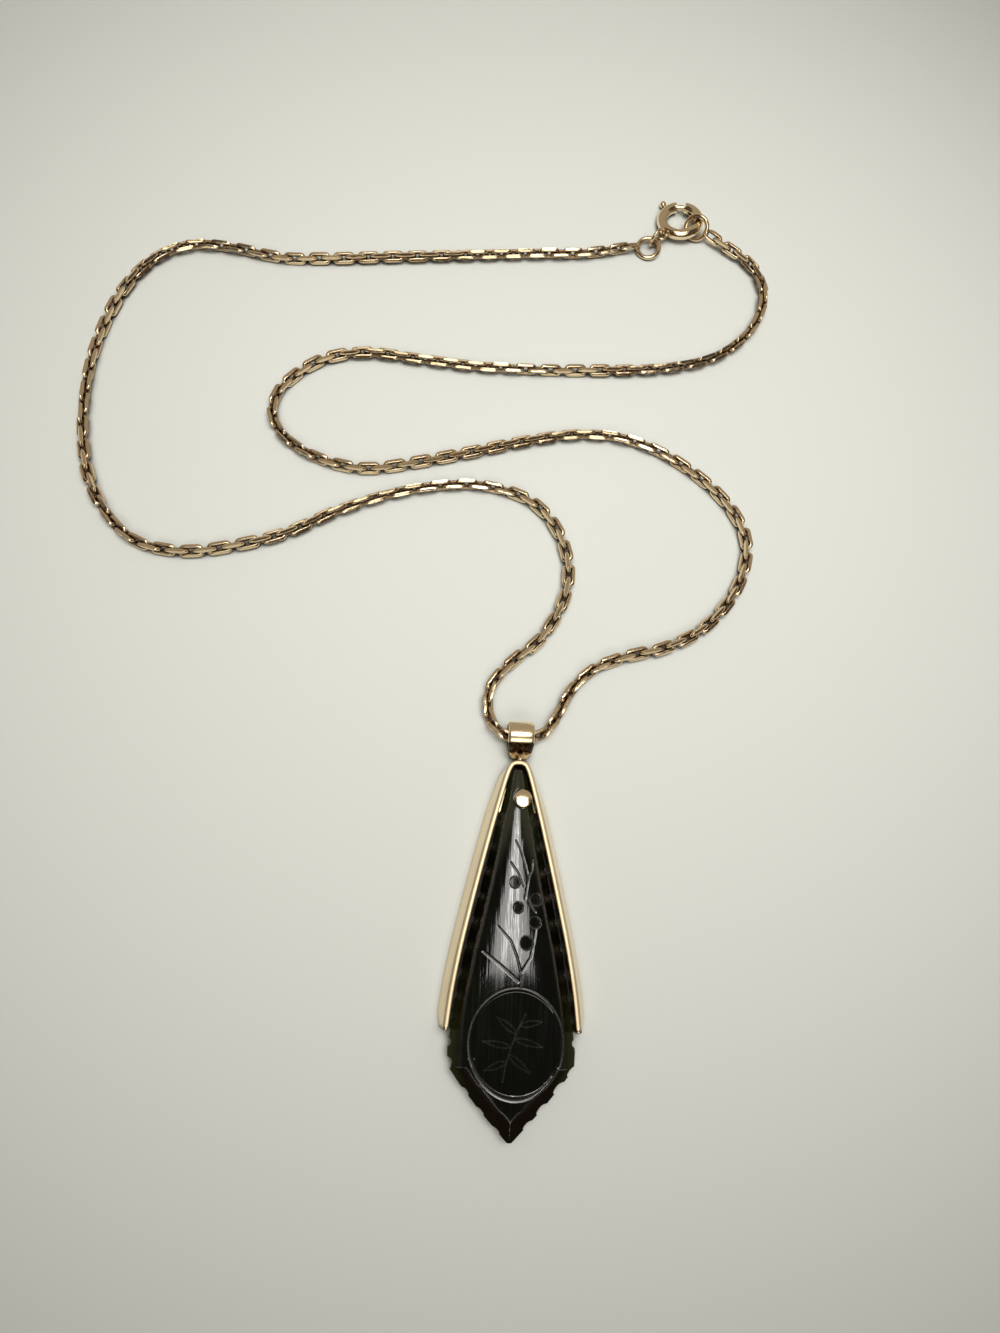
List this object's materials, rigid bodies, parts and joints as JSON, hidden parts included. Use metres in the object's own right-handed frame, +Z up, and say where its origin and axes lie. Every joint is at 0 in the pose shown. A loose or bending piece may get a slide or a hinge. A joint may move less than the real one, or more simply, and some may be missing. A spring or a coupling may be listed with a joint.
{
  "type": "jade pendant necklace",
  "caption": "Gold cable chain laid in a loose closed loop with a spring-ring clasp, holding a long notched jade drop in an open pointed gold frame with a bail.",
  "frame": {"origin": "centre of the bounding box of the laid necklace, on the surface that it rests on", "axes": "+Z up from the surface, +Y from the pendant towards the clasp, +X to the right"},
  "size_m": [0.103, 0.1384, 0.0041],
  "materials": {
    "chain_gold": "filed, lightly tarnished",
    "polished_gold": "polished",
    "jade": "polished stone"
  },
  "bodies": {
    "necklace": {"chain_left": "chain_gold", "chain_right": "chain_gold", "end_ring_left": "chain_gold", "end_ring_right": "chain_gold", "connector_ring": "chain_gold", "clasp_body": "polished_gold", "bail": "polished_gold", "pendant_frame": "polished_gold", "stud": "polished_gold", "jade_stone": "jade"},
    "trigger": {"clasp_trigger": "polished_gold"}
  },
  "joints": [
    {"name": "clasp_bolt", "type": "hinge", "parent": "necklace", "child": "trigger", "pos_m": [0.03725, 0.06515, 0.00124], "axis": [-0.1183, 0.0694, 0.9905], "range_deg": [0, 38], "stiffness_Nm_per_rad": 0.0005, "springref_deg": -20.05}
  ]
}
